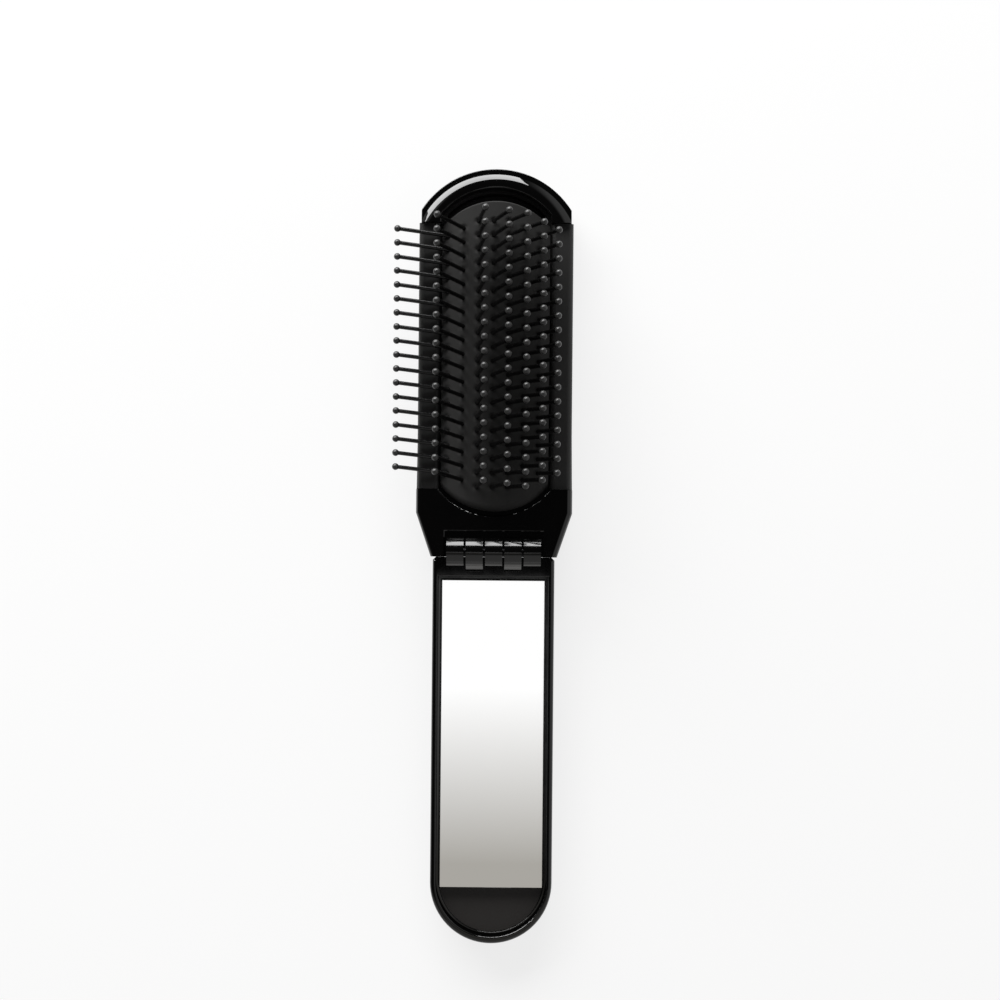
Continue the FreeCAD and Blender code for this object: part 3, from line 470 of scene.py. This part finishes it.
# Cushion
def build_cushion():
    """A grid shaped to the crown, with walls down to the ledge and a flat underside."""
    pad = bmesh.new()
    bmesh.ops.create_grid(pad, x_segments=CUSHION_COLUMNS, y_segments=CUSHION_ROWS, size=1.0)
    exits = list(pin_exits())
    for vert in pad.verts:
        across = vert.co.x * CUSHION_HALF
        low = CUSHION_START + end_setback(across)
        high = CUSHION_END - end_setback(across)
        along = low + (high - low) * crowd_to_ends((vert.co.y + 1) / 2)
        drop = end_drop(along - low, CUSHION_LOWER_ROUND) + end_drop(high - along, CUSHION_UPPER_ROUND)
        vert.co = (across, along, crown_height(across) - drop - dimple(across, along, exits))
    rim = [edge for edge in pad.edges if edge.is_boundary]
    for edge in rim:
        edge.smooth = False
    walls = bmesh.ops.extrude_edge_only(pad, edges=rim)["geom"]
    for part in walls:
        if isinstance(part, bmesh.types.BMVert):
            part.co.z = LEDGE_HEIGHT + CUSHION_LIFT
    underside = [edge for edge in pad.edges if edge.is_boundary]
    bmesh.ops.contextual_create(pad, geom=underside)
    bmesh.ops.recalc_face_normals(pad, faces=pad.faces)
    return make_piece("cushion", pad, soft_rubber())


# Finishes on the pieces that come from the frame
def dress_nodes():
    gloss = polished_black()
    matt = matt_black()
    foam = white_foam()
    finishes = {
        "head_shell": gloss,
        "handle_tray": gloss,
        "side_rail_left": matt,
        "side_rail_right": matt,
        "hinge_pin": steel_darkened_as_shade(),
        "tray_liner": tray_panel(),
        "mirror_tape_upper": foam,
        "mirror_tape_lower": foam,
        "mirror_plate": silvered_glass(),
    }
    for number, lean in enumerate(ROW_LEAN_DEGREES, start=1):
        finishes[f"pin_row_{number}"] = black_nylon(number, lean)
    for name, material in finishes.items():
        nodes[name].material_slots[0].material = material


# Floor, room and lamp
def pale_floor():
    """Pale paper that is partly plain white where it is seen, directly or mirrored."""
    material = bpy.data.materials.new("pale_floor")
    material.use_nodes = True
    tree = material.node_tree
    tree.nodes.clear()
    paper = add_node(tree, "ShaderNodeBsdfDiffuse")
    set_inputs(paper, Color=(*FLOOR_TONE, 1.0))
    glow = add_node(tree, "ShaderNodeEmission")
    set_inputs(glow, Color=(*FLOOR_GLOW_TONE, 1.0), Strength=1.0)
    rays = add_node(tree, "ShaderNodeLightPath").outputs
    seen = combine(tree, "MAXIMUM", rays["Is Camera Ray"], rays["Is Glossy Ray"])
    seen = combine(tree, "MAXIMUM", seen, rays["Is Transmission Ray"])
    mix = add_node(tree, "ShaderNodeMixShader")
    tree.links.new(combine(tree, "MULTIPLY", seen, FLOOR_GLOW_SHARE), mix.inputs["Fac"])
    tree.links.new(paper.outputs["BSDF"], mix.inputs[1])
    tree.links.new(glow.outputs["Emission"], mix.inputs[2])
    finish = add_node(tree, "ShaderNodeOutputMaterial")
    tree.links.new(mix.outputs["Shader"], finish.inputs["Surface"])
    return material


def build_floor():
    sheet = bmesh.new()
    bmesh.ops.create_grid(sheet, x_segments=1, y_segments=1, size=FLOOR_HALF)
    bmesh.ops.translate(sheet, verts=sheet.verts, vec=(0.0, 0.0, -FLOOR_DROP))
    floor = make_piece("floor", sheet, pale_floor())


def room_walls(tree, across, along):
    """A dim room with pale walls on the right, beyond the handle and left of the head."""
    right = ramp_between(tree, across, *RIGHT_WALL_ACROSS)
    beyond_handle = ramp_between(tree, along, *HANDLE_WALL_ALONG)
    corner_across = ramp_between(tree, across, *CORNER_WALL_ACROSS)
    corner_along = ramp_between(tree, along, *CORNER_WALL_ALONG)
    corner = combine(tree, "MULTIPLY", corner_across, corner_along)
    room = blend_colours(tree, right, ROOM_TONE, RIGHT_WALL_TONE)
    room = blend_colours(tree, beyond_handle, room, HANDLE_WALL_TONE)
    return blend_colours(tree, corner, room, CORNER_WALL_TONE)


def lit_panel(tree, across, along):
    """The panel's colour, and a mask that is 1 on the panel."""
    fade = ramp_between(tree, along, *PANEL_FADE_ALONG, shape="LINEAR")
    colour = blend_colours(tree, fade, PANEL_DIM_TONE, PANEL_BRIGHT_TONE)
    near_edge = ramp_between(tree, along, *PANEL_NEAR_EDGE)
    far_edge = ramp_between(tree, along, *PANEL_FAR_EDGE)
    from_middle = combine(tree, "ABSOLUTE", combine(tree, "ADD", across, PANEL_LEFT_OF_MIDDLE))
    side_edge = ramp_between(tree, from_middle, *PANEL_SIDE_EDGE)
    mask = combine(tree, "MULTIPLY", combine(tree, "MULTIPLY", near_edge, far_edge), side_edge)
    return colour, mask


def build_world():
    world = bpy.data.worlds.new("studio")
    scene.world = world
    world.use_nodes = True
    tree = world.node_tree
    background = tree.nodes["Background"]
    direction = add_node(tree, "ShaderNodeTexCoord").outputs["Generated"]
    axes = add_node(tree, "ShaderNodeSeparateXYZ")
    tree.links.new(direction, axes.inputs["Vector"])
    across = axes.outputs["X"]
    along = axes.outputs["Y"]
    room = room_walls(tree, across, along)
    panel, on_panel = lit_panel(tree, across, along)
    tree.links.new(blend_colours(tree, on_panel, room, panel), background.inputs["Color"])


def hang_lamp(name, place, aim, size, power):
    """A soft rectangular lamp that points at a place."""
    data = bpy.data.lights.new(name, "AREA")
    data.shape = "RECTANGLE"
    data.size, data.size_y = size
    data.energy = power
    lamp = bpy.data.objects.new(name, data)
    lamp.location = place
    towards = Vector(aim) - Vector(place)
    lamp.rotation_euler = towards.to_track_quat("-Z", "Y").to_euler()
    scene.collection.objects.link(lamp)


place_camera()
build_world()
hang_lamp("window", WINDOW_PLACE, WINDOW_AIM, WINDOW_SIZE, WINDOW_POWER)
build_floor()
dress_nodes()
cushion = build_cushion()
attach(cushion, "head")
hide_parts("cushion_pad")
